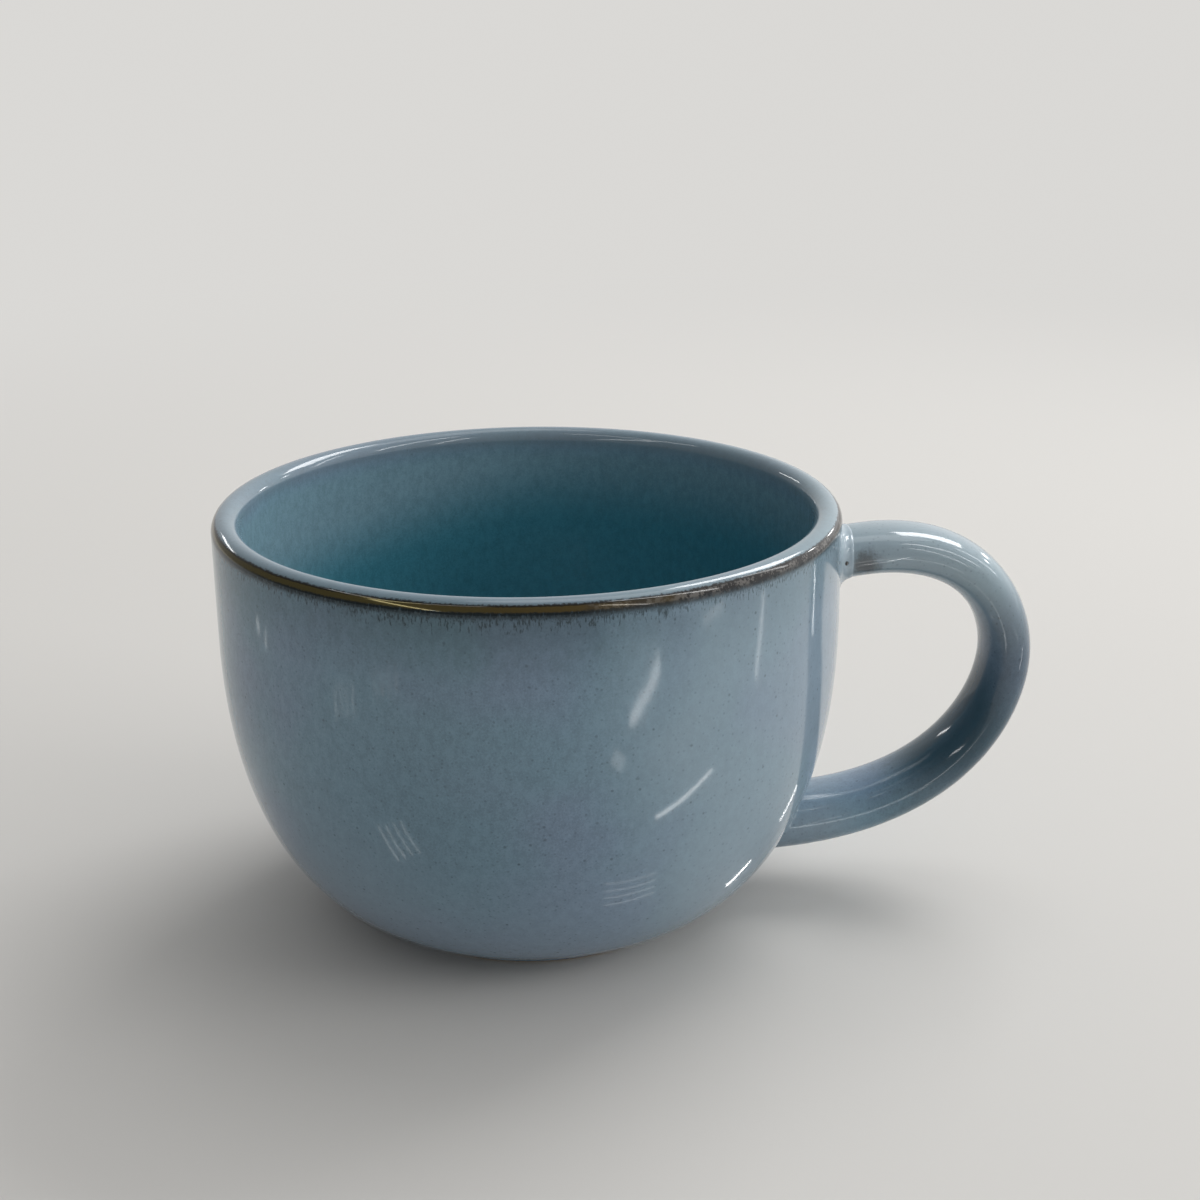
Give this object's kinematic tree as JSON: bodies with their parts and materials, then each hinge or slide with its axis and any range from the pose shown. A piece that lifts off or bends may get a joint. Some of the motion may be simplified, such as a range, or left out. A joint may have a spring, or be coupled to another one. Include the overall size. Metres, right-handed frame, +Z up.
{
  "type": "mug",
  "caption": "Wide stoneware mug with a round lip, full belly, foot ring and ear-shaped handle luted on at both ends, for coffee, tea or soup.",
  "frame": {"origin": "middle of the mug's overall length and width, on the table plane under the foot ring; the cup's own axis stands at x = -18.7 mm", "axes": "+X from the cup towards its handle, +Z up along the cup's axis, XZ is the mirror plane"},
  "size_m": [0.1514, 0.114, 0.078],
  "materials": {
    "blue_glaze": "glossy grey-blue reactive glaze with fine dark specks, breaking to brown at the lip, over stoneware"
  },
  "bodies": {
    "root": {"cup_body": "blue_glaze", "handle": "blue_glaze", "upper_slip_joint": "blue_glaze", "lower_slip_joint": "blue_glaze"}
  },
  "joints": []
}
